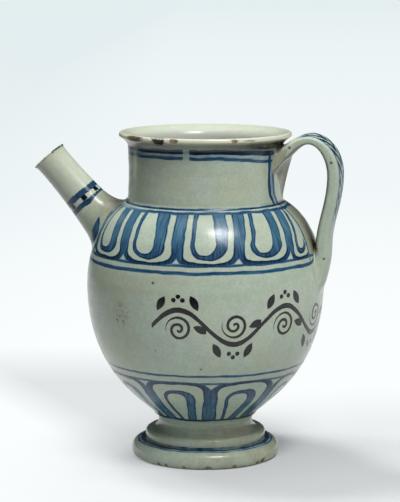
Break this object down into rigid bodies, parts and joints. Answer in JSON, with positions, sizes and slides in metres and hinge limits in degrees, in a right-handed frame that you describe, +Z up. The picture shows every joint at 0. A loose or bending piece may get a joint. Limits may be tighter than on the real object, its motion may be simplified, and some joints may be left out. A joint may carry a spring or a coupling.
{
  "type": "spouted jug",
  "caption": "Glazed earthenware pharmacy jug: round belly on a spreading foot, wide neck with everted lip, straight pouring spout on the shoulder and a strap handle opposite.",
  "frame": {"origin": "on the table, under the middle of the whole jug from spout tip to handle", "axes": "+Z up along the jug's axis of turning, +X from the spout towards the handle, +Y across"},
  "size_m": [0.2098, 0.16, 0.22],
  "materials": {
    "tin_glaze": "glossy pale tin glaze with cobalt blue painting",
    "lute_glaze": "glossy pale tin glaze, thinner over the joins"
  },
  "bodies": {
    "root": {"foot": "tin_glaze", "belly": "tin_glaze", "neck": "tin_glaze", "spout": "tin_glaze", "handle": "tin_glaze", "neck_lute": "lute_glaze", "foot_lute": "lute_glaze", "spout_lute": "lute_glaze", "handle_neck_lute": "lute_glaze", "handle_shoulder_lute": "lute_glaze"}
  },
  "joints": []
}
